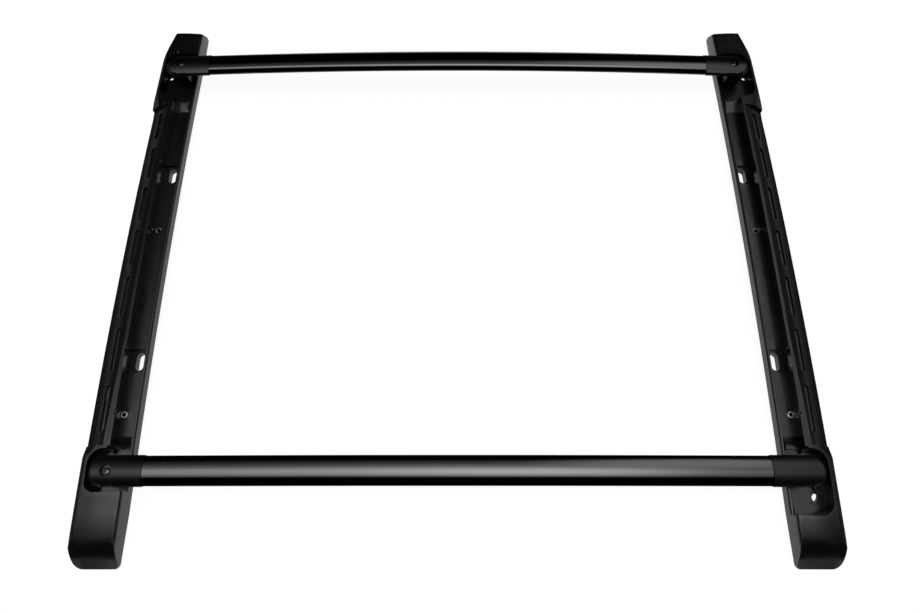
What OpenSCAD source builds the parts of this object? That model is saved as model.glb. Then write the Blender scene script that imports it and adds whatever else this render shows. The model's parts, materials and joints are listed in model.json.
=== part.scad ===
// Roof rack of two arched side rails bridged by two crossbars.
// X runs along the crossbars, Y along the rails, Z up. The origin is the middle of the footprint.
// Most pieces are drawn at mid length, as a section or a local part, and placed along the arch of the rails.

/* [Rack] */
// Distance from the nose end of the rails to the centre line of the front crossbar
nose_l = 135; // [128:1:145]
// Distance from the tail end of the rails to the centre line of the rear crossbar
tail_l = 111.5; // [105:0.5:120]
// Half the clear width between the two rails
rail_inner_x = 484; // [420:1:560]
// Radius of the arch that the rails follow
arch_r = 6800; // [6000:50:9000]

/* [Side rails] */
// Length of a rail
rail_len = 962; // [950:1:1000]
// Width of a rail
rail_w = 67; // [64:1:74]
// Height of the rail's top above the base, at mid length
rail_top = 50; // [48:0.5:56]
// Height of the rail's underside above the base, at mid length
rail_under = 14; // [12:0.5:16]
// Height of the trough floor at mid length
floor_h = 28; // [26:0.5:30]
// Height of the inner wall's lip at mid length
lip_h = 31; // [30:0.5:34]
// Height of the rim between the trough and a foot pocket
rim_h = 34; // [32:0.5:36]
// Thickness of the inner wall
lip_w = 4.5; // [4:0.1:5.5]
// Width of the trough floor
trough_w = 22.5; // [20:0.5:24]
// Height of the outer band's edge at mid length
band_edge_h = 31; // [29:0.5:34]
// Wall of the hollow underside
rail_wall = 3; // [2.5:0.1:4]
// Thickness of the seal under a rail
seal_t = 2; // [1.5:0.1:3]

/* [Foot pockets] */
// Height of the pocket floor at mid length
pocket_floor = 26; // [24:0.5:27]
// Width of a pocket, from the inner side of the rail
pocket_w = 57; // [55:0.5:60]
// Reach of a pocket from the bar towards the middle of the rack, front and rear
pocket_mid = [34, 56]; // [32:1:60]
// Reach of the rear pockets from the bar towards the tail
pocket_tail = 43.5; // [34:0.5:46]
// Reach of the open front pocket of the right rail towards its nose
pocket_nose_right = 61; // [58:1:64]

/* [Band slots] */
// Number of long recesses in a rail's outer band
slot_n = 7; // [3:1:8]
// Length of the shortest recess
slot_len = 57; // [50:1:64]
// Width of a recess
slot_w = 7.5; // [5:0.5:9]
// Depth of a recess
slot_deep = 5; // [3:0.5:7]

/* [Roof fixings] */
// Distance from the front crossbar to the front slotted roof bolt hole
bolt_front_in = 168.5; // [160:0.5:180]
// Distance from the rear crossbar to the rear slotted roof bolt hole
bolt_rear_in = 210; // [200:0.5:220]
// Width of a slotted roof bolt hole
bolt_w = 12; // [9:0.5:13]
// End to end length of a slotted roof bolt hole
bolt_l = 28; // [22:0.5:32]
// Distance from the front crossbar to the front sleeve
front_sleeve_in = 84.5; // [76:0.5:95]
// Distance from the front crossbar to the middle sleeve
mid_sleeve_in = 398; // [380:0.5:410]
// Outer diameter of a sleeve
sleeve_d = 11; // [10:0.2:12]
// Bore of a sleeve
sleeve_bore = 5.4; // [4.4:0.2:6.4]

/* [Crossbars] */
// Height of a bar's ends above the base, taken at mid length of the rails
bar_z = 64; // [63:0.5:68]
// Width of the aerofoil section
bar_w = 43; // [38:0.5:44]
// Thickness of the aerofoil section
bar_t = 16; // [15:0.5:18]
// Radius of the section's front and rear edges
bar_edge_r = 3.5; // [3.4:0.1:6.6]
// Wall of the extrusion
bar_wall = 2; // [1.6:0.1:2.4]
// Distance from the rail's inner side to the joint between a bar and its foot
bar_joint = 35.5; // [30:0.5:45]
// Rise of the bar's middle over its ends
bar_crown = 10.5; // [6:0.5:16]

/* [Feet] */
// Height that a foot's cap stands proud of the bar
cap_lap = 1; // [0.5:0.1:1.5]
// Distance from the rail's inner side to the tip of the cap
cap_tip = 46; // [42:0.5:50]
// Distance from the rail's inner side to the outer end of the foot's pedestal
foot_reach = 40; // [36:0.5:42]
// Width of the pedestal along the rail
foot_w = 28; // [24:0.5:34]
// Distance from the rail's inner side to the foot's screw
screw_in = 17.5; // [16:0.5:19]
// Length of the tongue inside the bar
tongue_l = 38; // [25:1:50]
// Shank diameter of a foot screw
screw_d = 6; // [5:0.2:6.4]
// Head diameter of a foot screw
screw_head_d = 11; // [10:0.2:12]
// Gap between pieces that fit into each other
gap = 0.3; // [0.2:0.05:0.4]

/* [Hidden] */

left = -1;
right = 1;
rail_outer = rail_inner_x + rail_w;
half_len = rail_len / 2;
bar_y = [nose_l - half_len, half_len - tail_l];
bar_half = rail_inner_x - bar_joint;
bolt_y = [bar_y[0] + bolt_front_in, bar_y[1] - bolt_rear_in];
front_sleeve_y = bar_y[0] + front_sleeve_in;
mid_sleeve_y = bar_y[0] + mid_sleeve_in;
far = 200;
eps = 0.01;
arch_fn = 2400;

// Trough, crest and band, measured from the rail's inner side
rim_w = 3;
ramp_l = [14, 18];
lip_cham = 0.6;
lip_fillet = 3.4;
floor_end = lip_w + trough_w;
crest_w = 4;
crest_s = floor_end + crest_w;
crest_step = 0.4;
crest_widen = 6.5;
band_start_angle = 12;
band_w = rail_w - crest_s;
band_drop = rail_top - crest_step - band_edge_h;
band_r = (band_w * band_w + band_drop * band_drop)
    / (2 * (band_drop * cos(band_start_angle) - band_w * sin(band_start_angle)));
band_front_y = bar_y[0] + pocket_mid[0] + 3;
band_rear_y = bar_y[1] - pocket_mid[1] - 15;
trough_front_y = bar_y[0] + pocket_mid[0] + rim_w;
trough_rear_y = bar_y[1] - pocket_mid[1] - rim_w;

// Bar arch
bar_r = (bar_half * bar_half + bar_crown * bar_crown) / (2 * bar_crown);
cap_w = bar_w + 2 * cap_lap;
web_y = bar_w / 5;
web_t = 1.6;

// Section of the nose and tail, and of the rail over the band's edge
tail_top_w = rail_w - 3.5;
inner_fillet = 5;
outer_fillet = 10;
top_crown = 2.4;
crown_r = 200;
tail_slope = 15;

// Foot
pocket_nose_left = cap_w / 2 + 6;
foot_out_x = rail_inner_x + foot_reach;
foot_in_x = rail_inner_x + 8;
screw_x = rail_inner_x + screw_in;
foot_floor = pocket_floor;
recess_floor = bar_z + 1;
recess_d = 17;
head_h = 3;
insert_d = screw_d + 4;
insert_h = 10;
under_head_h = 5;

// Points of a closed outline whose corners [x, y, r] are rounded with r
function unit(v) = v / norm(v);
function corner(p, a, b, r, n = 9) =
    let (u = unit(a - p), w = unit(b - p),
         half = acos(max(-1, min(1, u * w))) / 2,
         c = p + unit(u + w) * r / sin(half),
         t0 = p + u * r / tan(half) - c,
         t1 = p + w * r / tan(half) - c,
         a0 = atan2(t0[1], t0[0]),
         d = atan2(t1[1], t1[0]) - a0,
         turn = d > 180 ? d - 360 : d < -180 ? d + 360 : d)
    [for (i = [0:n]) c + r * [cos(a0 + turn * i / n), sin(a0 + turn * i / n)]];
function xy(p) = [p[0], p[1]];
function rounded(pts) =
    let (n = len(pts))
    [for (i = [0:n - 1])
        let (p = pts[i], a = pts[(i + n - 1) % n], b = pts[(i + 1) % n])
        each (p[2] > 0 ? corner(xy(p), xy(a), xy(b), p[2]) : [xy(p)])];

// Carries a part drawn at mid length to its place y along the arch
module on_arch(y) {
    translate([0, 0, -arch_r])
        rotate([-asin(y / arch_r), 0, 0])
            translate([0, 0, arch_r])
                children();
}

// Sets a part drawn at mid length upright at its place y along the arch
module upright(y) {
    translate([0, y, sqrt(arch_r * arch_r - y * y) - arch_r])
        children();
}

// Sweeps a section, drawn with x out from the rail's inner side and y up, along the arch from y0 to y1
module arch_sweep(y0, y1) {
    a0 = asin(y0 / arch_r);
    a1 = asin(y1 / arch_r);
    translate([rail_inner_x, 0, -arch_r])
        rotate([90, 0, 90])
            rotate([0, 0, 90 - a1])
                rotate_extrude(angle = a1 - a0, $fn = arch_fn)
                    translate([arch_r, 0])
                        mirror([1, -1])
                            children();
}

// Everything below the underside of a rail that is lift above the base
module below(lift) {
    translate([rail_inner_x - far / 2, 0, -arch_r])
        rotate([0, 90, 0])
            cylinder(r = arch_r + rail_under - seal_t + lift, h = rail_w + far, $fn = arch_fn);
    translate([rail_inner_x - far / 2, -half_len - far, lift - far])
        cube([rail_w + far, rail_len + 2 * far, far]);
}

// Outline of a rail from above
module rail_plan(inset = 0) {
    i = rail_inner_x + inset;
    o = rail_outer - inset;
    e = half_len - inset;
    polygon(rounded([
        [i, -e, 8], [i, e, 5],
        [o - 22, e, 16], [o, e - 88, 100],
        [o, band_rear_y + 8, 30], [o - 2.4, band_rear_y - 26, 30],
        [o + 4.5, band_front_y + 4, 60], [o + 2.4, -e + 70, 60],
        [o - 3.5, -e, 12]
    ]));
}

// Side view of the nose and tail, y along the rail
module rail_side(inset = 0) {
    e = half_len - inset;
    top = rail_top + far;
    low = inset > 0 ? -1 : 0;
    nose_h = rail_top - 13.5 - inset;
    tail_h = rail_top - half_len * half_len / (2 * arch_r) - inset;
    rotate([90, 0, 90])
        linear_extrude(rail_w + far)
            polygon(rounded([
                [-e, low, 0], [-e, 4, 3],
                [-e + 21, nose_h - 9, 56], [-e + 42, nose_h, 74],
                [-e + 42 + top, nose_h + top * 0.16, 0], [e - tail_slope, top, 0],
                [e - tail_slope, tail_h - 3, 6], [e, 4, 3], [e, low, 0]
            ]));
}

// Section of a rail's outer form, top_w wide at the top, with its fillets and sloping outer side
module rail_section(top_w, inset = 0) {
    base_w = rail_w + 8 - inset;
    top = rail_top - inset;
    polygon(rounded([
        [inset, -far, 0], [base_w, -far, 0], [base_w, 10, 0],
        [top_w - inset, top - top_crown, outer_fillet], [top_w / 2, top, crown_r],
        [inset, top - top_crown, inner_fillet]
    ]));
}

// Region outside the tail's narrower section
module beside_tail() {
    arch_sweep(0, half_len + 30)
        difference() {
            translate([tail_top_w - outer_fillet - 5, 0])
                square([30, rail_top + 10]);
            rail_section(tail_top_w);
        }
}

// Everything on the far side of the plane through three points, as the right hand rule says
module beyond(a, b, c) {
    n = unit(cross(b - a, c - a));
    translate(a)
        rotate([0, acos(n[2]), atan2(n[1], n[0])])
            translate([-far, -far, 0])
                cube([2 * far, 2 * far, far]);
}

// Region over the sloping outer band of a rail, whose surface is an arc that starts at the crest
module over_band() {
    intersection() {
        arch_sweep(band_front_y - 30, band_rear_y + 30)
            difference() {
                translate([crest_s, band_edge_h - 14])
                    square([rail_w, far / 2]);
                translate([crest_s - band_r * sin(band_start_angle),
                           rail_top - crest_step - band_r * cos(band_start_angle)])
                    circle(band_r, $fn = 360);
            }
        linear_extrude(far)
            polygon([
                [rail_inner_x + crest_s + crest_widen, band_front_y - 1],
                [rail_outer + 20, band_front_y - 1],
                [rail_outer + 20, band_rear_y - 14],
                [rail_inner_x + crest_s - 2, band_rear_y],
                [rail_inner_x + crest_s - 2, band_front_y / 4]
            ]);
    }
}

// Place in the side view of a point at y along the rail and height h, both taken at mid length
function at(y, h) = (arch_r + h) * [y, sqrt(arch_r * arch_r - y * y)] / arch_r - [0, arch_r];

// Facets that take the rail's outer top edge down to the two ends of the band
module band_end_facets() {
    o = rail_outer;
    z0 = at(band_rear_y, rail_top)[1];
    intersection() {
        beyond([o - 17, band_rear_y - 2, z0], [o + 1, band_rear_y - 8, z0 - 12], [o + 1, band_rear_y + 62, z0 - 3]);
        translate([rail_inner_x, band_rear_y - 17, 0])
            cube([far, far, far]);
    }
    z1 = at(band_front_y, rail_top)[1];
    intersection() {
        beyond([o - 22, band_front_y - 1, z1], [o + 4, band_front_y - 34, z1 - 4], [o + 4, band_front_y - 1, z1 - 19]);
        translate([rail_inner_x, band_front_y + 0.5 - far, 0])
            cube([far, far, far]);
    }
}

// Region of the trough between the two pockets, with the ramps up to the rims
module trough() {
    drop = 1.2 * (rim_h - floor_h);
    high = rail_top + far / 4;
    translate([rail_inner_x + lip_w, 0, 0])
        rotate([90, 0, 90])
            linear_extrude(trough_w)
                difference() {
                    polygon([
                        at(trough_front_y - rim_w - 4, rim_h), at(trough_front_y, rim_h),
                        at(trough_front_y + 1.2 * ramp_l[0], rim_h - drop),
                        at(trough_rear_y - 1.2 * ramp_l[1], rim_h - drop),
                        at(trough_rear_y, rim_h), at(trough_rear_y + rim_w + 4, rim_h),
                        at(trough_rear_y + rim_w + 4, high), at(trough_front_y - rim_w - 4, high)
                    ]);
                    translate([0, -arch_r])
                        circle(arch_r + floor_h, $fn = arch_fn);
                }
}

// Region over the inner wall, low from y0 to y1 with a fillet and a chamfer
module over_lip(y0, y1) {
    c = lip_cham;
    r = lip_fillet;
    arch_sweep(y0, y1)
        polygon([
            for (a = [8, 21, 35, 49, 63, 77, 90])
                [r - r * cos(a), lip_h - r + r * sin(a)],
            [lip_w - c, lip_h], [lip_w + 1, lip_h - 1 - c],
            [lip_w + 1, rail_top + 9], [-1, rail_top + 9], [-1, lip_h - r]
        ]);
}

// One foot pocket from y0 to y1 around its bar, with corners of radius r at its front, inner and outer
module pocket(y, y0, y1, r) {
    s = lip_w + 0.6;
    on_arch(y)
        translate([rail_inner_x, 0, pocket_floor])
            linear_extrude(far / 4)
                polygon(rounded([
                    [s, y0, r[0]], [pocket_w, y0, r[1]],
                    [pocket_w, y1, 22], [s, y1, 3]
                ]));
}

// Region over the corner between the lip and the right rail's round pocket front
module over_pocket_corner() {
    on_arch(bar_y[0])
        translate([rail_inner_x - 1, 1 - pocket_nose_right, lip_h + 0.6])
            cube([22, 21, far / 4]);
}

module stadium(l, w) {
    translate([0, -(l - w) / 2])
        circle(d = w, $fn = 48);
    translate([0, (l - w) / 2])
        circle(d = w, $fn = 48);
    square([w, l - w], center = true);
}

// Long recesses in the outer band, a little longer and wider apart towards the front
function slot_start(i) = slot_first + i * slot_pitch + i * (i - 1) / 2 * pitch_growth;
slot_first = 21 - band_rear_y;
slot_pitch = slot_len + 18.5;
slot_growth = 2.3;
pitch_growth = 2.85;
slot_s = crest_s + 14.5;
function slot_l(i) = slot_len + i * slot_growth;
function slot_mid(i) = -(slot_start(i) + slot_l(i) / 2);
slot_bed = rail_top - 5.5 - slot_deep;
screw_slots = [2, 3, 4, 5];

module band_slots() {
    for (i = [0:slot_n - 1])
        on_arch(slot_mid(i))
            translate([rail_inner_x + slot_s, 0, slot_bed])
                linear_extrude(far / 4)
                    stadium(slot_l(i), slot_w);
}

// Recessed slotted bolt hole with its notch in the trough's outer wall
module bolt_hole(y) {
    upright(y)
        translate([rail_inner_x + lip_w + trough_w / 2, 0, 0]) {
            translate([0, 0, floor_h - 4])
                linear_extrude(far / 4)
                    polygon(rounded([
                        [1.5 - trough_w / 2, -19, 3], [trough_w / 2 + 1, -19, 5],
                        [trough_w / 2 + 1, 19, 5], [1.5 - trough_w / 2, 19, 3]
                    ]));
            translate([-2, 0, -far / 4])
                linear_extrude(far / 2)
                    stadium(bolt_l, bolt_w);
        }
}

module bore(y, s, d, z0, z1) {
    upright(y)
        translate([rail_inner_x + s, 0, z0])
            cylinder(d = d, h = z1 - z0, $fn = 64);
}

front_sleeve_s = lip_w + 19;
mid_sleeve_s = lip_w + 16;
seal_gap = 0.2;

// Hollow underside, as bays between ribs that keep clear of the bolt bosses
band_bay_n = 6;
band_bay_l = (band_rear_y - band_front_y - 30) / band_bay_n;
band_bays = [for (i = [0:band_bay_n - 1])
    let (start = band_front_y + 15 + i * band_bay_l)
    [start + 3, start + band_bay_l - 3]];
bolt_boss = 32;
mid_rib_y = (bolt_y[0] + bolt_boss + mid_sleeve_y - 12) / 2;
trough_bays = [
    [front_sleeve_y + 12, bolt_y[0] - bolt_boss],
    [bolt_y[0] + bolt_boss, mid_rib_y - 3], [mid_rib_y + 3, mid_sleeve_y - 12],
    [mid_sleeve_y + 12, bolt_y[1] - bolt_boss], [bolt_y[1] + bolt_boss, trough_rear_y - ramp_l[1] - 5]
];
module bays() {
    for (b = band_bays)
        arch_sweep(b[0], b[1])
            translate([floor_end + rail_wall, 0])
                polygon([
                    [0, 0], [rail_w - floor_end - 2 * rail_wall - 3, 0],
                    [rail_w - floor_end - 2 * rail_wall - 3, band_edge_h - 9],
                    [12, slot_bed - rail_wall - 1], [0, slot_bed - rail_wall - 1]
                ]);
    for (b = trough_bays)
        arch_sweep(b[0], b[1])
            translate([rail_wall + 1, 0])
                square([floor_end - rail_wall - 1.5 - rail_wall, floor_h - rail_wall - 0.5]);
}

// Stepped round seat in the open front pocket, with an offset through hole
seat_y = -30;
seat_s = 33;
module stepped_seat() {
    bore_floor = rail_under + 3;
    on_arch(bar_y[0]) {
        translate([rail_inner_x + seat_s, seat_y, 0]) {
            for (ring = [[43, pocket_floor - 2], [36, pocket_floor - 4], [28, bore_floor]])
                translate([0, 0, ring[1]])
                    cylinder(d = ring[0], h = rail_top - ring[1], $fn = 96);
            translate([13.5, -5.5, bore_floor - 20])
                cylinder(d = 12, h = 21, $fn = 64);
        }
    }
}

// Rail drawn for the right side; side tells which pockets and holes it gets
module rail_body(side) {
    nose = side == right ? -pocket_nose_right : -pocket_nose_left;
    difference() {
        intersection() {
            linear_extrude(far)
                rail_plan();
            translate([rail_inner_x - far / 2, 0, 0])
                rail_side();
            arch_sweep(-half_len - 30, half_len + 30)
                rail_section(rail_w);
        }
        below(seal_t);
        beside_tail();
        over_band();
        band_end_facets();
        trough();
        over_lip(bar_y[0] + nose + 2, bar_y[1] + pocket_tail - 2);
        pocket(bar_y[0], nose, pocket_mid[0], side == right ? [16, 22] : [3, 15]);
        pocket(bar_y[1], -pocket_mid[1], pocket_tail, [3, 22]);
        if (side == right) over_pocket_corner();
        band_slots();
        bolt_hole(bolt_y[0]);
        bolt_hole(bolt_y[1]);
        bore(front_sleeve_y, front_sleeve_s, sleeve_d + 2 * gap, 0, rail_top);
        bore(mid_sleeve_y, mid_sleeve_s, sleeve_d + 2 * gap, 0, rail_top);
        bays();
        end_hollow(-half_len - 1, bar_y[0] + nose - rail_wall, rail_w);
        end_hollow(bar_y[1] + pocket_tail + rail_wall, half_len + 1, tail_top_w);
        foot_fixing_in_rail(side);
        // small hole in each pocket, the rear one over a relief
        bore(bar_y[0] + pocket_mid[0] - 4, floor_end + 1, 9, 0, rail_top);
        bore(bar_y[1] + 5, rear_hole_s, 7, 0, rail_top);
        rear_relief();
        if (side == right) stepped_seat();
        band_screw_holes();
    }
}

// Relief under the small hole of the rear pocket
rear_hole_s = 51.5;
module rear_relief() {
    bore(bar_y[1] + 9, rear_hole_s, 22, -20, pocket_floor - 3);
}

// Hollow from y0 to y1 under the nose or the tail, whose section is top_w wide at the top
module end_hollow(y0, y1, top_w) {
    intersection() {
        linear_extrude(far)
            rail_plan(rail_wall);
        translate([rail_inner_x - far / 2, 0, 0])
            rail_side(rail_wall);
        arch_sweep(-half_len - 30, half_len + 30)
            rail_section(top_w, rail_wall);
        translate([0, y0, -1])
            cube([far * 4, y1 - y0, far]);
    }
}

// Screw and insert holes under the feet
module foot_fixing_in_rail(side) {
    for (end = [0, 1])
        on_arch(bar_y[end])
            translate([screw_x, 0, 0]) {
                if (side == right && end == 0) {
                    translate([0, 0, -10])
                        cylinder(d = screw_d + 2 * gap, h = 60, $fn = 48);
                    translate([0, 0, -10])
                        cylinder(d = screw_head_d + 4 * gap, h = 10 + rail_under + under_head_h, $fn = 48);
                } else {
                    translate([0, 0, pocket_floor - insert_h])
                        cylinder(d = insert_d + 2 * gap, h = 20, $fn = 48);
                }
            }
}

// Small screws standing in four of the band's recesses
module at_band_screws() {
    for (i = screw_slots)
        on_arch(slot_mid(i))
            translate([rail_inner_x + slot_s - 1, -7.5, slot_bed])
                children();
}
module band_screw_holes() {
    at_band_screws()
        translate([0, 0, -rail_wall - 2])
            cylinder(d = 2.6, h = rail_wall + 3, $fn = 32);
}

// The seal under a rail
module seal_body(side) {
    difference() {
        intersection() {
            linear_extrude(far)
                rail_plan(rail_wall / 2);
            below(seal_t - seal_gap);
        }
        below(0);
        bolt_hole(bolt_y[0]);
        bolt_hole(bolt_y[1]);
        bore(front_sleeve_y, front_sleeve_s, sleeve_d + 2 * gap, 0, rail_top);
        bore(mid_sleeve_y, mid_sleeve_s, sleeve_d + 2 * gap, 0, rail_top);
        rear_relief();
        if (side == right) {
            stepped_seat();
            foot_fixing_in_rail(side);
        }
    }
}

// Aerofoil outline of half width a and half thickness b, with edges of radius r, y across and z up
module aerofoil(a, b, r) {
    c = a - r;
    big = (c * c + b * b - r * r) / (2 * (b - r));
    for (s = [-1, 1])
        translate([s * c, 0])
            circle(r, $fn = 72);
    intersection() {
        translate([0, b - big])
            circle(big, $fn = 360);
        translate([0, big - b])
            circle(big, $fn = 360);
        square([2 * big * c / (big - r), 3 * b], center = true);
    }
}

// Sweeps a section along the bar's arch from x0 to x1, the section drawn with y across and z up
module bar_sweep(x0, x1) {
    a0 = asin(x0 / bar_r);
    a1 = asin(x1 / bar_r);
    translate([0, 0, bar_z + bar_crown - bar_r])
        rotate([90, 0, 0])
            rotate([0, 0, 90 - a1])
                rotate_extrude(angle = a1 - a0, $fn = arch_fn)
                    translate([bar_r, 0])
                        rotate(-90)
                            children();
}

module bar_outline(grow = 0) {
    aerofoil(bar_w / 2 + grow, bar_t / 2 + grow, bar_edge_r + grow);
}

module webs(t) {
    for (s = [-1, 1])
        translate([s * web_y, 0])
            square([t, bar_t], center = true);
}

module crossbar() {
    bar_sweep(-bar_half, bar_half)
        difference() {
            bar_outline();
            difference() {
                bar_outline(-bar_wall);
                webs(web_t);
            }
        }
}

module foot_blank() {
    cap_r = cap_w / 2 + 0.2;
    axis_x = rail_inner_x + cap_tip - cap_r;
    mid = bar_z + bar_crown - axis_x * axis_x / (2 * bar_r);
    top = mid + bar_t / 2 + cap_lap;
    // cap that carries on the bar's section to a round tip with a sloping rim
    intersection() {
        bar_sweep(bar_half + gap, axis_x + cap_w)
            bar_outline(cap_lap);
        union() {
            translate([bar_half, -far / 2, 0])
                cube([axis_x - bar_half, far, far]);
            translate([axis_x, 0, 0])
                rotate_extrude($fn = 96)
                    polygon(rounded([
                        [0, 0, 0], [cap_r, 0, 0], [cap_r, mid, 5],
                        [cap_r - 7.5, top, 5], [cap_r - 10, top + 5, 0], [0, top + 5, 0]
                    ]));
        }
    }
    // tongues in the bar's three chambers
    bar_sweep(bar_half - tongue_l, bar_half + 1)
        difference() {
            bar_outline(-bar_wall - gap);
            webs(web_t + 2 * gap);
        }
    // pedestal down to the pocket floor
    translate([0, 0, foot_floor])
        linear_extrude(bar_z - foot_floor)
            polygon(rounded([
                [foot_in_x, -foot_w / 2, 4], [foot_out_x, -foot_w / 2, foot_w / 2 - 1],
                [foot_out_x, foot_w / 2, foot_w / 2 - 1], [foot_in_x, foot_w / 2, 4]
            ]));
}

// A foot held by a screw from the top, or from below
module foot(from_top) {
    difference() {
        foot_blank();
        if (from_top) {
            translate([screw_x, 0, recess_floor])
                cylinder(d = recess_d, h = far, $fn = 64);
            translate([screw_x, 0, 0])
                cylinder(d = screw_d + 2 * gap, h = far, $fn = 48);
        } else {
            translate([screw_x, 0, 0])
                cylinder(d = insert_d + 2 * gap, h = foot_floor + insert_h, $fn = 48);
            translate([screw_x, 0, 0])
                cylinder(d = screw_d + 2 * gap, h = foot_floor + insert_h + 6, $fn = 48);
        }
    }
}

// Six lobed socket screw standing on z = 0
module lobed_screw(d, head_d, h, shank) {
    difference() {
        union() {
            rotate_extrude($fn = 64)
                intersection() {
                    translate([0, h - head_d])
                        circle(head_d, $fn = 180);
                    square([head_d / 2, h]);
                }
            translate([0, 0, -shank])
                cylinder(d = d, h = shank + eps, $fn = 48);
        }
        translate([0, 0, h - 2])
            linear_extrude(3)
                union() {
                    circle(d = head_d * 0.36, $fn = 36);
                    for (i = [0:5])
                        rotate(60 * i)
                            translate([head_d * 0.19, 0])
                                circle(d = head_d * 0.13, $fn = 24);
                }
    }
}

module foot_screw(from_top) {
    color("silver")
    if (from_top) {
        translate([screw_x, 0, recess_floor])
            lobed_screw(screw_d, screw_head_d, head_h, recess_floor - pocket_floor + insert_h - 1);
    } else {
        translate([screw_x, 0, rail_under + under_head_h])
            mirror([0, 0, 1])
                lobed_screw(screw_d, screw_head_d, head_h, foot_floor + insert_h + 4 - rail_under - under_head_h);
    }
}

// Threaded bush, in the rail under a foot or in the foot itself
module insert(z) {
    color("goldenrod")
    translate([screw_x, 0, z])
        difference() {
            cylinder(d = insert_d, h = insert_h - gap, $fn = 48);
            translate([0, 0, -1])
                cylinder(d = screw_d + gap, h = insert_h + 2, $fn = 48);
        }
}

module sleeve(y, s, top) {
    color("gainsboro")
    upright(y)
        translate([rail_inner_x + s, 0, rail_under + gap])
            difference() {
                cylinder(d = sleeve_d, h = top - rail_under - gap, $fn = 64);
                translate([0, 0, -1])
                    cylinder(d = sleeve_bore, h = top, $fn = 64);
            }
}

// Sets a part drawn for the right side on its side
module on_side(side) {
    if (side == left) {
        mirror([1, 0, 0])
            children();
    } else {
        children();
    }
}

module rail(side) {
    color("#1c1c1e")
    on_side(side)
        rail_body(side);
}
module seal(side) {
    color("#303030")
    on_side(side)
        seal_body(side);
}
module bar(end) {
    color("#0c0c0e")
    on_arch(bar_y[end])
        crossbar();
}
module placed_foot(side, end) {
    color("#141416")
    on_side(side)
        on_arch(bar_y[end])
            foot(!(side == right && end == 0));
}
module placed_screw(side, end) {
    on_side(side)
        on_arch(bar_y[end])
            foot_screw(!(side == right && end == 0));
}
module placed_insert(side, end) {
    on_side(side)
        on_arch(bar_y[end])
            insert(side == right && end == 0 ? foot_floor : pocket_floor - insert_h);
}
module band_screws(side) {
    color("silver")
    on_side(side)
        at_band_screws()
            lobed_screw(2.2, 4, 1.4, rail_wall + 1);
}

rail(left);  // rail_left
rail(right);  // rail_right
seal(left);  // seal_left
seal(right);  // seal_right
bar(0);  // crossbar_front
bar(1);  // crossbar_rear
placed_foot(left, 0);  // foot_front_left
placed_foot(right, 0);  // foot_front_right
placed_foot(left, 1);  // foot_rear_left
placed_foot(right, 1);  // foot_rear_right
placed_screw(left, 0);  // screw_front_left
placed_screw(right, 0);  // screw_front_right
placed_screw(left, 1);  // screw_rear_left
placed_screw(right, 1);  // screw_rear_right
placed_insert(left, 0);  // insert_front_left
placed_insert(right, 0);  // insert_front_right
placed_insert(left, 1);  // insert_rear_left
placed_insert(right, 1);  // insert_rear_right
on_side(left) sleeve(front_sleeve_y, front_sleeve_s, floor_h);  // front_sleeve_left
on_side(right) sleeve(front_sleeve_y, front_sleeve_s, floor_h);  // front_sleeve_right
on_side(left) sleeve(mid_sleeve_y, mid_sleeve_s, floor_h - 4);  // mid_sleeve_left
on_side(right) sleeve(mid_sleeve_y, mid_sleeve_s, floor_h - 4);  // mid_sleeve_right
band_screws(left);  // band_screws_left
band_screws(right);  // band_screws_right
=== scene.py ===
import json
import math

import bmesh
import bpy
from mathutils import Matrix, Vector


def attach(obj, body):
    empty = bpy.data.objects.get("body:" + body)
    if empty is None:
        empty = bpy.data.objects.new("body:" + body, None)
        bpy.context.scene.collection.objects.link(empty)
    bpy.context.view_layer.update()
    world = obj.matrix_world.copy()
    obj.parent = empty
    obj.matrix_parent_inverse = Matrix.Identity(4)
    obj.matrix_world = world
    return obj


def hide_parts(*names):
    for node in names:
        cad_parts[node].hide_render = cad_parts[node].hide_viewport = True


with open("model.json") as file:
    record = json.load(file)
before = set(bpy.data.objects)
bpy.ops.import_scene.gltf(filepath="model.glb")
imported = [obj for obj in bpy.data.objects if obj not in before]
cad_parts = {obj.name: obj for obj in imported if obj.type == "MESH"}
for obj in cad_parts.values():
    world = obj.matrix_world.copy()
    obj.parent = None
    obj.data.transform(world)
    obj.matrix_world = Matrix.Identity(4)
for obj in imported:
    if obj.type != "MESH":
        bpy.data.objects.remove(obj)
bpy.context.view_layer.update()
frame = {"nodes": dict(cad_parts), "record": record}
nodes = frame["nodes"]
slotOf = {part["node"]: part["material_slot"] for part in frame["record"]["subparts"]}
scene = bpy.context.scene
archRadius = 6.8  # of the rails' arch, which the feet, bars and screws lean with
print("frame loaded:", len(nodes), "nodes")


def addObject(name, data):
    obj = bpy.data.objects.new(name, data)
    scene.collection.objects.link(obj)
    return obj


# A shader node whose first sockets take plain values or other nodes' outputs
def addNode(tree, kind, operation, *values):
    node = tree.nodes.new(kind)
    node.operation = operation
    for value, socket in zip(values, node.inputs):
        if isinstance(value, bpy.types.NodeSocket):
            tree.links.new(value, socket)
        else:
            socket.default_value = value
    return node


def mathNode(tree, operation, *values):
    return addNode(tree, "ShaderNodeMath", operation, *values).outputs[0]


# Takes a value from one range to another
def rangeNode(tree, value, fromLow, fromHigh, toLow, toHigh, kind="SMOOTHSTEP"):
    node = tree.nodes.new("ShaderNodeMapRange")
    node.interpolation_type = kind
    for key, limit in (("From Min", fromLow), ("From Max", fromHigh), ("To Min", toLow), ("To Max", toHigh)):
        node.inputs[key].default_value = limit
    tree.links.new(value, node.inputs["Value"])
    return node.outputs["Result"]


# Shows the first shader where the share is 0 and the second where it is 1
def mixShaders(tree, share, first, second, out):
    mix = tree.nodes.new("ShaderNodeMixShader")
    for source, socket in zip((share, first.outputs[0], second.outputs[0]), mix.inputs):
        tree.links.new(source, socket)
    tree.links.new(mix.outputs[0], out.inputs["Surface"])


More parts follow.
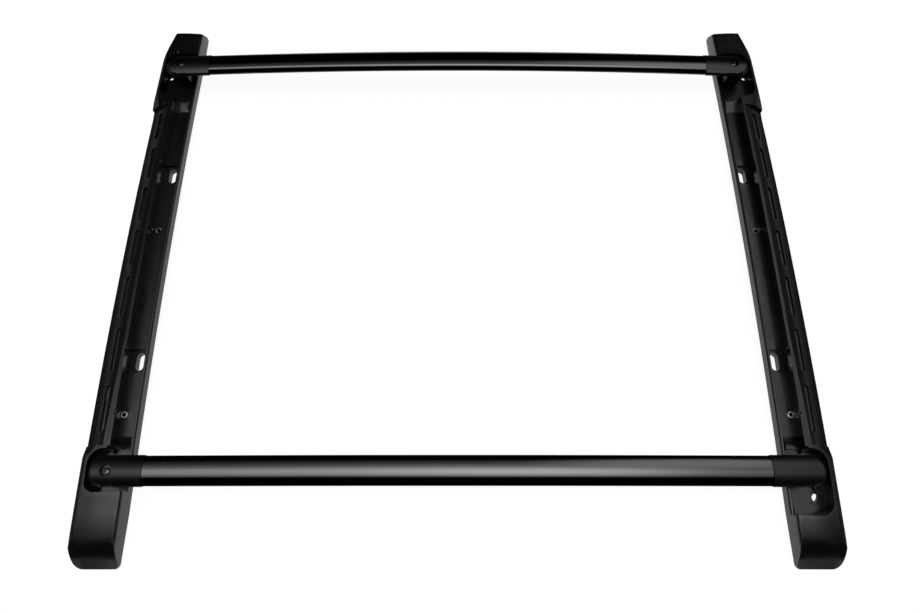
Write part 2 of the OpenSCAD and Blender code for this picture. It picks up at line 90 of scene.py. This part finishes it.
# Camera, from the vanishing points of the rails and bars
camera = {
    "pitchDown": math.radians(69.0),
    "focalPixels": 669.8,
    "place": (0.0, -0.4731, 1.0340),
    "framePixels": (920, 613),
    "midColumn": 457.5,
    "sensor": 36.0,
    "reach": (0.05, 30),
}


def makeCamera():
    columns = camera["framePixels"][0]
    data = bpy.data.cameras.new("camera")
    data.sensor_width = camera["sensor"]
    data.lens = camera["sensor"] * camera["focalPixels"] / columns
    data.shift_x = (columns / 2 - camera["midColumn"]) / columns
    data.clip_start, data.clip_end = camera["reach"]
    obj = addObject("camera", data)
    obj.location = camera["place"]
    obj.rotation_euler = (math.pi / 2 - camera["pitchDown"], 0, 0)
    scene.camera = obj


makeCamera()
print("camera set")

# Floor: pale paper that takes the shadow
floor = {
    "half": 9.0,
    "color": (0.86, 0.86, 0.86, 1),
    "glow": 1.10,  # 1 is white
    "glowShare": 0.85,  # what the camera sees of the glow, and the rest of light and shadow
    "mirrorShare": 0.76,  # how bright reflections find the paper
    "paintedShadeShare": 0.04,  # the same where reflections see the glow painted dark
    "betweenRails": (0.49, 0.57),  # bright to painted dark, away from the middle
    "beforeNoses": (-0.60, -0.50),  # bright to painted dark, along the rails
    "farInFront": (-1.05, -0.80),  # painted dark to bright, along the rails
}


def makeFloor():
    half = floor["half"]
    mesh = bpy.data.meshes.new("floor")
    mesh.from_pydata([(-half, -half, 0), (half, -half, 0), (half, half, 0), (-half, half, 0)], [], [(0, 1, 2, 3)])
    obj = addObject("floor", mesh)
    mat = bpy.data.materials.new("floorPaper")
    mat.use_nodes = True
    tree = mat.node_tree
    tree.nodes.clear()
    out = tree.nodes.new("ShaderNodeOutputMaterial")
    diffuse = tree.nodes.new("ShaderNodeBsdfDiffuse")
    diffuse.inputs["Color"].default_value = floor["color"]
    glow = tree.nodes.new("ShaderNodeEmission")
    path = tree.nodes.new("ShaderNodeLightPath").outputs
    place = tree.nodes.new("ShaderNodeSeparateXYZ")
    tree.links.new(tree.nodes.new("ShaderNodeTexCoord").outputs["Object"], place.inputs[0])
    # painted reflection: the glow that reflections see is painted dark beside the rails behind the noses and far in
    # front, and bright between the rails and before the noses
    dark = floor["paintedShadeShare"]
    away = mathNode(tree, "ABSOLUTE", place.outputs["X"])
    between = rangeNode(tree, away, *floor["betweenRails"], 1.0, dark)
    before = rangeNode(tree, place.outputs["Y"], *floor["beforeNoses"], 1.0, dark)
    far = rangeNode(tree, place.outputs["Y"], *floor["farInFront"], dark, 1.0)
    bright = mathNode(tree, "MULTIPLY", mathNode(tree, "MAXIMUM", between, before),
                      mathNode(tree, "MULTIPLY", far, floor["mirrorShare"]))
    glossy = path["Is Glossy Ray"]
    lost = mathNode(tree, "MULTIPLY", mathNode(tree, "SUBTRACT", 1.0, bright), glossy)
    strength = mathNode(tree, "MULTIPLY", mathNode(tree, "SUBTRACT", 1.0, lost), floor["glow"])
    tree.links.new(strength, glow.inputs["Strength"])
    seen = mathNode(tree, "MAXIMUM", mathNode(tree, "MULTIPLY", path["Is Camera Ray"], floor["glowShare"]), glossy)
    mixShaders(tree, seen, diffuse, glow, out)
    mesh.materials.append(mat)


makeFloor()

# Light: a soft lamp, and a world with a wide softbox far overhead
lamp = {"place": (3.5, 3.3, 6.0), "size": (2.2, 2.5), "power": 5.0, "aim": (0.5, 0.1, 0)}
# the softbox's brightness by the tilt in degrees that it is seen at: fore and aft, then sideways
softbox = {
    "radiance": 4.7,
    "foreAft": ((-25, 0.0), (-19, 0.44), (-13, 0.82), (-5, 1.0), (3, 0.80), (10, 0.38), (22, 0.11), (37, 0.0)),
    "sideways": ((-62, 0.0), (-47, 0.12), (-31, 0.50), (-12, 0.72), (0, 0.96), (9, 1.0), (17, 0.80), (25, 0.33),
                 (42, 0.05)),
}
sideGlow = {"tilts": (27, 26), "reach": (20, 4), "share": 0.24}  # over the right rail, in degrees
walls = {"height": (0.42, 0.22), "ends": (0.85, 0.55), "share": 0.07}  # pale and low beside the rack


def makeLamp():
    data = bpy.data.lights.new("rightLight", "AREA")
    data.shape = "RECTANGLE"
    data.size, data.size_y = lamp["size"]
    data.energy = lamp["power"]
    obj = addObject("rightLight", data)
    obj.location = lamp["place"]
    obj.rotation_euler = (Vector(lamp["aim"]) - Vector(lamp["place"])).to_track_quat("-Z", "Y").to_euler()


# Brightness by the tilt of a direction, from a table in degrees
def tiltShare(tree, along, up, table):
    tilt = mathNode(tree, "ARCTAN2", along, up)
    ramp = tree.nodes.new("ShaderNodeValToRGB")
    tree.links.new(rangeNode(tree, tilt, -math.pi / 2, math.pi / 2, 0.0, 1.0, "LINEAR"), ramp.inputs[0])
    stops = ramp.color_ramp.elements
    while len(stops) < len(table):
        stops.new(1.0)
    for stop, (degrees, share) in zip(stops, table):
        stop.position = 0.5 + degrees / 180
        stop.color = (share, share, share, 1)
    return ramp.outputs["Color"]


def makeWorld():
    world = bpy.data.worlds.new("studio")
    scene.world = world
    world.use_nodes = True
    tree = world.node_tree
    tree.nodes.clear()
    out = tree.nodes.new("ShaderNodeOutputWorld")
    direction = tree.nodes.new("ShaderNodeTexCoord").outputs["Generated"]
    split = tree.nodes.new("ShaderNodeSeparateXYZ")
    tree.links.new(direction, split.inputs[0])
    x, y, z = split.outputs
    box = addNode(tree, "ShaderNodeVectorMath", "MULTIPLY", tiltShare(tree, y, z, softbox["foreAft"]),
                  tiltShare(tree, x, z, softbox["sideways"]))
    toward = Vector([math.tan(math.radians(tilt)) for tilt in sideGlow["tilts"]] + [1.0]).normalized()
    near = addNode(tree, "ShaderNodeVectorMath", "DOT_PRODUCT", direction, toward).outputs["Value"]
    limits = [math.cos(math.radians(angle)) for angle in sideGlow["reach"]]
    side = rangeNode(tree, near, *limits, 0.0, sideGlow["share"])
    height = rangeNode(tree, z, *walls["height"], 0.0, walls["share"])
    ends = rangeNode(tree, mathNode(tree, "ABSOLUTE", y), *walls["ends"], 0.0, 1.0)
    rest = mathNode(tree, "MULTIPLY_ADD", height, ends, side)
    total = addNode(tree, "ShaderNodeVectorMath", "ADD", box.outputs[0], rest)
    soft = tree.nodes.new("ShaderNodeBackground")
    tree.links.new(total.outputs[0], soft.inputs["Color"])
    soft.inputs["Strength"].default_value = softbox["radiance"]
    white = tree.nodes.new("ShaderNodeBackground")
    white.inputs["Color"].default_value = (1, 1, 1, 1)
    white.inputs["Strength"].default_value = 1.0
    mixShaders(tree, tree.nodes.new("ShaderNodeLightPath").outputs["Is Camera Ray"], soft, white, out)


makeLamp()
makeWorld()
scene.view_settings.view_transform = "Standard"
print("floor and light set")


# Materials, all on object coordinates
class Look:
    def __init__(self, name):
        self.mat = bpy.data.materials.new(name)
        self.mat.use_nodes = True
        self.tree = self.mat.node_tree
        self.shader = self.tree.nodes["Principled BSDF"]
        self.coords = self.tree.nodes.new("ShaderNodeTexCoord").outputs["Object"]

    def link(self, source, socket):
        self.tree.links.new(source, socket)

    # Gives the shader's own input an output or a plain value
    def feed(self, key, value):
        if isinstance(value, bpy.types.NodeSocket):
            self.link(value, self.shader.inputs[key])
        else:
            self.shader.inputs[key].default_value = value

    def noise(self, scale, detail=3.0, rough=0.5, stretch=None):
        node = self.tree.nodes.new("ShaderNodeTexNoise")
        node.inputs["Scale"].default_value = scale
        node.inputs["Detail"].default_value = detail
        node.inputs["Roughness"].default_value = rough
        source = self.coords
        if stretch:
            place = self.tree.nodes.new("ShaderNodeMapping")
            place.inputs["Scale"].default_value = stretch
            self.link(source, place.inputs["Vector"])
            source = place.outputs["Vector"]
        self.link(source, node.inputs["Vector"])
        return node.outputs["Fac"]

    # Takes a noise's middle part to a range
    def span(self, value, low, high, fromLow=0.3, fromHigh=0.7):
        return rangeNode(self.tree, value, fromLow, fromHigh, low, high, "LINEAR")

    def blend(self, share, *colors):
        node = self.tree.nodes.new("ShaderNodeMix")
        node.data_type = "RGBA"
        for color, socket in zip(colors, node.inputs[6:8]):
            if isinstance(color, tuple):
                socket.default_value = (*color, 1)
            else:
                self.link(color, socket)
        self.link(share, node.inputs[0])
        return node.outputs[2]

    # Lowers a value by a share of itself
    def less(self, value, by, share):
        kept = mathNode(self.tree, "SUBTRACT", 1.0, mathNode(self.tree, "MULTIPLY", by, share))
        return mathNode(self.tree, "MULTIPLY", value, kept)

    # 1 on worn convex edges, broken up by noise
    def edges(self, flat, reach, patches, least):
        point = self.tree.nodes.new("ShaderNodeNewGeometry").outputs["Pointiness"]
        sharp = self.span(point, 0.0, 1.0, flat, flat + reach)
        return mathNode(self.tree, "MULTIPLY", sharp, self.span(self.noise(*patches), least, 1.0))

    def attribute(self, name):
        node = self.tree.nodes.new("ShaderNodeAttribute")
        node.attribute_name = name
        return node.outputs["Fac"]

    def bump(self, height, distance, strength, below=None):
        node = self.tree.nodes.new("ShaderNodeBump")
        node.inputs["Distance"].default_value = distance
        node.inputs["Strength"].default_value = strength
        self.link(height, node.inputs["Height"])
        if below is not None:
            self.link(below, node.inputs["Normal"])
        return node.outputs["Normal"]


# A noise is its scale per metre, its detail and its roughness. Depths are in metres.
plastics = {
    "rail_plastic": {"name": "railPlastic", "colors": ((0.0014, 0.0014, 0.0017), (0.0026, 0.0026, 0.003)),
                     "roughness": (0.27, 0.34), "grain": (2600.0, 2.0), "grainDepth": 0.00004, "specular": 0.38},
    "seal_rubber": {"name": "sealRubber", "colors": ((0.008, 0.008, 0.008), (0.014, 0.014, 0.014)),
                    "roughness": (0.6, 0.8), "grain": (1500.0, 2.0), "grainDepth": 0.00006, "specular": 0.5},
    "foot_plastic": {"name": "footPlastic", "colors": ((0.0012, 0.0012, 0.0015), (0.0022, 0.0022, 0.0026)),
                     "roughness": (0.25, 0.31), "grain": (3200.0, 2.0), "grainDepth": 0.00003, "specular": 0.38},
}
moulded = {
    "mottle": (9.0, 4.0),
    "patches": (26.0, 5.0, 0.6),
    "grainShare": 0.3,
    "swell": (14.0, 2.0),
    "swellDepth": 0.0003,
    "swellShare": 0.15,
    "flatPoint": 0.53,  # pointiness just above that of a flat face
    "edgeReach": 0.06,
    "wear": (90.0, 4.0),
    "leastWear": 0.35,
    "edgePale": 2.5,
    "edgeGloss": 0.5,
}
coating = {
    "name": "barCoat",
    "colors": ((0.0004, 0.0004, 0.0006), (0.0008, 0.0008, 0.001)),
    "roughness": (0.08, 0.11),
    "specular": 1.0,
    "mottle": (12.0, 3.0),
    "drawn": (60.0, 3.0, 0.6),
    "stretch": (0.05, 1, 1),  # long along the bar
    "grain": (1800.0, 2.0),
    "grainDepth": 0.00002,
    "grainShare": 0.5,
}
metals = {
    "screw_steel": {"name": "screwSteel", "color": (0.10, 0.10, 0.105), "roughness": (0.22, 0.34)},
    "insert_brass": {"name": "insertBrass", "color": (0.60, 0.45, 0.20), "roughness": (0.25, 0.4)},
    "sleeve_steel": {"name": "sleeveSteel", "color": (0.85, 0.85, 0.85), "roughness": (0.2, 0.35)},
}
turned = {
    "mottle": (300.0, 3.0),
    "darker": 0.6,
    "inside": (0.004, 0.004, 0.004),  # painted shade deep in a bore, near black
    "drawn": (900.0, 3.0, 0.6),
    "stretch": (1, 1, 6),
    "grain": (2500.0, 2.0, 0.5),
    "grainDepth": 0.00002,
    "grainShare": 0.6,
}


def plastic(kind):
    look = Look(kind["name"])
    mottle = look.noise(*moulded["mottle"])
    edge = look.edges(moulded["flatPoint"], moulded["edgeReach"], moulded["wear"], moulded["leastWear"])
    tone = look.blend(look.span(mottle, 0, 1), *kind["colors"])
    pale = tuple(part * moulded["edgePale"] for part in kind["colors"][1])
    look.feed("Base Color", look.blend(edge, tone, pale))
    rough = look.span(look.noise(*moulded["patches"]), *kind["roughness"])
    look.feed("Roughness", look.less(rough, edge, moulded["edgeGloss"]))
    look.feed("Specular IOR Level", kind["specular"])
    fine = look.bump(look.noise(*kind["grain"]), kind["grainDepth"], moulded["grainShare"])
    swell = look.bump(look.noise(*moulded["swell"]), moulded["swellDepth"], moulded["swellShare"], fine)
    look.feed("Normal", swell)
    return look.mat


def coat(kind):
    look = Look(kind["name"])
    look.feed("Specular IOR Level", kind["specular"])
    look.feed("Base Color", look.blend(look.span(look.noise(*kind["mottle"]), 0, 1), *kind["colors"]))
    drawn = look.noise(*kind["drawn"], kind["stretch"])
    look.feed("Roughness", look.span(drawn, *kind["roughness"]))
    look.feed("Normal", look.bump(look.noise(*kind["grain"]), kind["grainDepth"], kind["grainShare"]))
    return look.mat


def metal(kind):
    look = Look(kind["name"])
    dark = tuple(part * turned["darker"] for part in kind["color"])
    tone = look.blend(look.span(look.noise(*turned["mottle"]), 0, 1), kind["color"], dark)
    # painted shade: where a mesh marks its bore, the steel is painted near black as shade
    look.feed("Base Color", look.blend(look.attribute("inside"), tone, turned["inside"]))
    look.feed("Roughness", look.span(look.noise(*turned["drawn"], turned["stretch"]), *kind["roughness"]))
    look.feed("Metallic", 1.0)
    grain = look.noise(*turned["grain"], turned["stretch"])
    look.feed("Normal", look.bump(grain, turned["grainDepth"], turned["grainShare"]))
    return look.mat


looks = {slot: plastic(kind) for slot, kind in plastics.items()}
looks["bar_paint"] = coat(coating)
looks.update({slot: metal(kind) for slot, kind in metals.items()})
print("materials made:", len(looks))


def dress(obj, slotName):
    obj.data.materials.clear()
    obj.data.materials.append(looks[slotName])


# Sets a finished piece in the place of its CAD node
def takePlace(obj, nodeName):
    dress(obj, slotOf[nodeName])
    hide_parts(nodeName)
    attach(obj, "root")


# Puts an object's modifiers into its mesh
def bake(obj):
    baked = bpy.data.meshes.new_from_object(obj.evaluated_get(bpy.context.evaluated_depsgraph_get()))
    obj.modifiers.clear()
    obj.data = baked
    obj.data.name = obj.name


# A mesh with its faces turned outwards
def makeMesh(name, bm):
    bmesh.ops.recalc_face_normals(bm, faces=bm.faces)
    mesh = bpy.data.meshes.new(name)
    bm.to_mesh(mesh)
    bm.free()
    return mesh


def shade(mesh, sharpOver):
    mesh.shade_smooth()
    mesh.set_sharp_from_angle(angle=math.radians(sharpOver))


# Rails, feet and bars: copies of the frame with softened edges, cut on a grid in metres
soften = {
    "merge": 2e-6,
    "flat": 0.05,  # angles are in degrees
    "bevelOver": 28,
    "sharpOver": 50,
    "normalWeight": 50,
    "gridOffset": 0.37,  # of a step, so that no cut runs along an end
    "cutMerge": 1e-6,
}
rail = {
    "width": 0.0014,
    "segments": 3,
    "grid": (0.009, 0.012, 0.012),
    # the nose's top rounds down evenly: tilt of its normals in degrees, by the place along the rail
    "tilts": ((-0.398, 3.4), (-0.408, 7.6), (-0.424, 10.9), (-0.440, 14.5), (-0.450, 24.0), (-0.460, 38.0),
              (-0.472, 50.0)),
}
foot = {"width": 0.0009, "segments": 2, "grid": (0.006, 0.006, 0.008)}
bar = {
    "width": 0.0003,
    "segments": 1,
    "grid": (1, 0.0012, 1),
    # an even crown and a round front edge, by the place from the bar's middle
    "tilts": ((0.0212, -30.0), (0.012, -14.8), (-0.0105, 13.0), (-0.0115, 15.5), (-0.0133, 25.5), (-0.0143, 33.0),
              (-0.0165, 40.0), (-0.0212, 44.0)),
}
tops = {"leastUp": 0.3, "mostAside": 0.5, "cornerAside": 0.6}  # which faces and corners count as a top
softened = {
    "rail_left": rail,
    "rail_right": rail,
    "foot_front_left": foot,
    "foot_front_right": foot,
    "foot_rear_left": foot,
    "foot_rear_right": foot,
    "crossbar_front": bar,
    "crossbar_rear": bar,
}


# Cuts a mesh's faces on a grid, so that normals blend only near the edges
def gridCut(mesh, steps):
    bm = bmesh.new()
    bm.from_mesh(mesh)
    for axis, pitch in enumerate(steps):
        low, high = (f(v.co[axis] for v in bm.verts) for f in (min, max))
        normal = [float(axis == i) for i in range(3)]
        for k in range(1, int((high - low) / pitch) + 1):
            place = [0.0, 0.0, 0.0]
            place[axis] = low + (k - soften["gridOffset"]) * pitch
            bmesh.ops.bisect_plane(bm, geom=bm.verts[:] + bm.edges[:] + bm.faces[:], dist=soften["cutMerge"],
                                   plane_co=place, plane_no=normal)
    bm.to_mesh(mesh)
    bm.free()


def tiltAt(table, y):
    after = next((k for k in range(1, len(table)) if y >= table[k][0]), len(table) - 1)
    (y0, tilt0), (y1, tilt1) = table[after - 1], table[after]
    return math.radians(tilt0 + (tilt1 - tilt0) * (y - y0) / (y1 - y0))


# Tilts a top's normals by a table of places from the middle, on a piece that leans with the arch there
def easeNormals(mesh, table, middle):
    lean = math.asin(middle / archRadius)
    normals = [corner.vector.copy() for corner in mesh.corner_normals]
    for face in mesh.polygons:
        if face.normal.z < tops["leastUp"] or abs(face.normal.x) > tops["mostAside"]:
            continue
        for i in face.loop_indices:
            y = mesh.vertices[mesh.loops[i].vertex_index].co.y - middle
            x = normals[i].x
            if not table[-1][0] < y < table[0][0] or abs(x) > tops["cornerAside"]:
                continue
            tilt = tiltAt(table, y) - lean
            reach = math.sqrt(1 - x * x)
            normals[i] = Vector((x, -reach * math.sin(tilt), reach * math.cos(tilt)))
    mesh.normals_split_custom_set(normals)


def middleY(mesh):
    places = [v.co.y for v in mesh.vertices]
    return (min(places) + max(places)) / 2


def smoothCopy(nodeName, size):
    bm = bmesh.new()
    bm.from_mesh(nodes[nodeName].data)
    bmesh.ops.remove_doubles(bm, verts=bm.verts, dist=soften["merge"])
    bmesh.ops.dissolve_limit(bm, angle_limit=math.radians(soften["flat"]), verts=bm.verts, edges=bm.edges)
    obj = addObject(nodeName + "_soft", makeMesh(nodeName + "_soft", bm))
    bevel = obj.modifiers.new("bevel", "BEVEL")
    bevel.limit_method = "ANGLE"
    bevel.angle_limit = math.radians(soften["bevelOver"])
    bevel.width = size["width"]
    bevel.segments = size["segments"]
    bevel.use_clamp_overlap = True
    bevel.loop_slide = False
    bake(obj)
    gridCut(obj.data, size["grid"])
    shade(obj.data, soften["sharpOver"])
    weighted = obj.modifiers.new("weighted", "WEIGHTED_NORMAL")
    weighted.mode = "FACE_AREA"
    weighted.weight = soften["normalWeight"]
    weighted.keep_sharp = True
    bake(obj)
    if size is rail:
        easeNormals(obj.data, rail["tilts"], 0.0)
    elif size is bar:
        easeNormals(obj.data, bar["tilts"], middleY(obj.data))
    takePlace(obj, nodeName)


for name, size in softened.items():
    smoothCopy(name, size)
print("softened copies made:", len(softened))

# Sleeves: the same rings with a softened rim and a threaded bore whose steel is painted near black as shade
sleeve = {"outer": 0.0055, "bore": 0.0027, "rim": 0.0005, "turns": 9, "threadDepth": 0.0003, "sides": 48,
          "paintedShadeWithin": 0.00315, "sharpOver": 30}


def ringProfile(low, high):
    outer, bore, rim = sleeve["outer"], sleeve["bore"], sleeve["rim"]
    points = [(bore + rim, high), (outer - rim, high), (outer, high - rim), (outer, low + rim), (outer - rim, low),
              (bore + rim, low)]
    span = high - low - 2 * rim
    for k in range(2 * sleeve["turns"] + 1):
        depth = sleeve["threadDepth"] * (k % 2)
        points.append((bore + depth, low + rim + span * k / (2 * sleeve["turns"])))
    return points


def makeSleeve(nodeName):
    node = nodes[nodeName]
    corners = [node.matrix_world @ v.co for v in node.data.vertices]
    low, high = (f(c.z for c in corners) for f in (min, max))
    midX, midY = ((min(c[i] for c in corners) + max(c[i] for c in corners)) / 2 for i in (0, 1))
    profile = ringProfile(low, high)
    bm = bmesh.new()
    rings = []
    for k in range(sleeve["sides"]):
        turn = 2 * math.pi * k / sleeve["sides"]
        rings.append([bm.verts.new((midX + r * math.cos(turn), midY + r * math.sin(turn), z)) for r, z in profile])
    for k, ring in enumerate(rings):
        after = rings[(k + 1) % len(rings)]
        for i in range(len(profile)):
            j = (i + 1) % len(profile)
            bm.faces.new((ring[i], ring[j], after[j], after[i]))
    mesh = makeMesh(nodeName + "_turned", bm)
    # painted shade: marks the points near the axis, whose steel is painted near black as shade in the bore
    mark = mesh.attributes.new("inside", "FLOAT", "POINT")
    for v in mesh.vertices:
        reach = math.hypot(v.co.x - midX, v.co.y - midY)
        mark.data[v.index].value = 1.0 if reach < sleeve["paintedShadeWithin"] else 0.0
    shade(mesh, sleeve["sharpOver"])
    takePlace(addObject(nodeName + "_turned", mesh), nodeName)


sleeveNodes = [name for name in nodes if "sleeve" in name]
for name in sleeveNodes:
    makeSleeve(name)
print("sleeves made:", len(sleeveNodes))

# Screws: one lobed screw for each size, set in place by Geometry Nodes
footScrew = {"head": 0.0055, "rise": 0.003, "socket": 0.0021, "deep": 0.0018, "shank": 0.003, "pitch": 0.001,
             "cut": 0.0004, "sectors": 72}
bandScrew = {"head": 0.002, "rise": 0.0014, "socket": 0.00085, "deep": 0.0008, "shank": 0.0011, "pitch": 0.0005,
             "cut": 0.0002, "sectors": 48}
screwForm = {
    "lobes": 6,
    "lobeDepth": 0.2,
    "socketFloor": 0.93,  # of the lobe's radius
    "socketRim": 1.15,
    "chamfer": 0.0003,
    "rimHeight": 0.99,  # of the head's rise
    "crown": ((0.62, 0.97), (0.84, 0.86), (0.97, 0.6), (1, 0.3), (1, 0)),  # of the head's radius and rise
    "crest": 0.3,  # of a thread's pitch
    "root": 0.8,
    "tip": 0.7,  # of the shank's radius
    "sharpOver": 40,
    "apart": 0.01,  # least gap between two screws of one node
    "firstSeed": 11,
}


def screwProfile(size, length, turn):
    head, rise, shank, pitch = size["head"], size["rise"], size["shank"], size["pitch"]
    lobe = size["socket"] * (1 + screwForm["lobeDepth"] * math.cos(screwForm["lobes"] * turn))
    points = [(lobe * screwForm["socketFloor"], rise - size["deep"]), (lobe, rise - screwForm["chamfer"]),
              (lobe * screwForm["socketRim"], rise * screwForm["rimHeight"])]
    points += [(head * out, rise * up) for out, up in screwForm["crown"]] + [(shank, 0.0)]
    for i in range(int(length / pitch)):
        points += [(shank, -(i + screwForm["crest"]) * pitch), (shank - size["cut"], -(i + screwForm["root"]) * pitch)]
    return points + [(shank * screwForm["tip"], -length)]


def screwMesh(name, size, length):
    bm = bmesh.new()
    rings = []
    for k in range(size["sectors"]):
        turn = 2 * math.pi * k / size["sectors"]
        rings.append([bm.verts.new((r * math.cos(turn), r * math.sin(turn), z))
                      for r, z in screwProfile(size, length, turn)])
    top = bm.verts.new((0, 0, size["rise"] - size["deep"]))
    tip = bm.verts.new((0, 0, -length))
    for k, ring in enumerate(rings):
        after = rings[(k + 1) % len(rings)]
        bm.faces.new((top, ring[0], after[0]))
        bm.faces.new((tip, after[-1], ring[-1]))
        for i in range(len(ring) - 1):
            bm.faces.new((ring[i], ring[i + 1], after[i + 1], after[i]))
    mesh = makeMesh(name, bm)
    shade(mesh, screwForm["sharpOver"])
    return mesh


# Each screw of a node, from its own solids: its seat, the turn that the arch gives it and its shank's length
def screwPlaces(nodeName, size, fromBelow):
    node = nodes[nodeName]
    points = sorted((node.matrix_world @ v.co for v in node.data.vertices), key=lambda point: point.y)
    groups = [[points[0]]]
    for point in points[1:]:
        if point.y - groups[-1][-1].y > screwForm["apart"]:
            groups.append([])
        groups[-1].append(point)
    places = []
    for group in groups:
        middle = Vector([(min(p[i] for p in group) + max(p[i] for p in group)) / 2 for i in range(3)])
        tilt = -math.asin(middle.y / archRadius)
        turn = Matrix.Rotation(tilt, 3, "X")
        heights = [(turn.inverted() @ (point - middle)).z for point in group]
        seat = max(heights) - size["rise"]
        if fromBelow:
            seat, tilt = min(heights) + size["rise"], tilt + math.pi
        length = max(heights) - min(heights) - size["rise"]
        places.append((middle + turn @ Vector((0, 0, seat)), (tilt, 0, 0), length))
    return places


# Sets a screw on each point, leant by the point's tilt and turned about its axis by chance
def screwGroup():
    tree = bpy.data.node_groups.new("screwSet", "GeometryNodeTree")
    face = tree.interface
    face.new_socket("Places", in_out="INPUT", socket_type="NodeSocketGeometry")
    face.new_socket("Screw", in_out="INPUT", socket_type="NodeSocketObject")
    face.new_socket("Most Turn", in_out="INPUT", socket_type="NodeSocketFloat")
    face.new_socket("Seed", in_out="INPUT", socket_type="NodeSocketInt")
    face.new_socket("Steel", in_out="INPUT", socket_type="NodeSocketMaterial")
    face.new_socket("Screws", in_out="OUTPUT", socket_type="NodeSocketGeometry")
    made = {}
    for key, kind in (("given", "NodeGroupInput"), ("result", "NodeGroupOutput"), ("info", "GeometryNodeObjectInfo"),
                      ("tilt", "GeometryNodeInputNamedAttribute"), ("lean", "FunctionNodeEulerToRotation"),
                      ("chance", "FunctionNodeRandomValue"), ("spin", "FunctionNodeAxisAngleToRotation"),
                      ("both", "FunctionNodeRotateRotation"), ("place", "GeometryNodeInstanceOnPoints"),
                      ("real", "GeometryNodeRealizeInstances"), ("paint", "GeometryNodeSetMaterial")):
        made[key] = tree.nodes.new(kind)
    made["tilt"].data_type = "FLOAT_VECTOR"
    made["tilt"].inputs["Name"].default_value = "tilt"
    made["chance"].data_type = "FLOAT"
    made["both"].rotation_space = "LOCAL"
    link = tree.links.new
    given = made["given"].outputs
    link(given["Screw"], made["info"].inputs["Object"])
    link(made["tilt"].outputs["Attribute"], made["lean"].inputs[0])
    chance = {s.identifier: s for s in made["chance"].inputs}
    link(given["Most Turn"], chance["Max_001"])
    link(given["Seed"], chance["Seed"])
    link({s.identifier: s for s in made["chance"].outputs}["Value_001"], made["spin"].inputs["Angle"])
    link(made["lean"].outputs[0], made["both"].inputs["Rotation"])
    link(made["spin"].outputs[0], made["both"].inputs["Rotate By"])
    link(given["Places"], made["place"].inputs["Points"])
    link(made["info"].outputs["Geometry"], made["place"].inputs["Instance"])
    link(made["both"].outputs[0], made["place"].inputs["Rotation"])
    link(made["place"].outputs["Instances"], made["real"].inputs["Geometry"])
    link(made["real"].outputs["Geometry"], made["paint"].inputs["Geometry"])
    link(given["Steel"], made["paint"].inputs["Material"])
    link(made["paint"].outputs["Geometry"], made["result"].inputs["Screws"])
    return tree


def setScrews(nodeName, size, seed, tree, fromBelow):
    places = screwPlaces(nodeName, size, fromBelow)
    mesh = bpy.data.meshes.new(nodeName + "_set")
    mesh.from_pydata([tuple(seat) for seat, turn, length in places], [], [])
    tilt = mesh.attributes.new("tilt", "FLOAT_VECTOR", "POINT")
    for i, (seat, turn, length) in enumerate(places):
        tilt.data[i].vector = turn
    obj = addObject(nodeName + "_set", mesh)
    pattern = addObject("pattern", screwMesh("pattern", size, places[0][2]))
    modifier = obj.modifiers.new("screws", "NODES")
    modifier.node_group = tree
    values = {"Screw": pattern, "Most Turn": math.tau, "Seed": seed, "Steel": looks["screw_steel"]}
    for item in tree.interface.items_tree:
        if item.in_out == "INPUT" and item.name in values:
            modifier[item.identifier] = values[item.name]
    bake(obj)
    bpy.data.objects.remove(pattern)
    takePlace(obj, nodeName)


screwTree = screwGroup()
screwNodes = sorted(name for name in nodes if name.startswith("screw_") or name.startswith("band_screws"))
for seed, name in enumerate(screwNodes, screwForm["firstSeed"]):
    setScrews(name, bandScrew if "band" in name else footScrew, seed, screwTree, name == "screw_front_right")
print("screws set:", len(screwNodes))

for name, obj in nodes.items():
    if name not in softened and name not in sleeveNodes and name not in screwNodes:
        dress(obj, slotOf[name])
print("small pieces dressed")
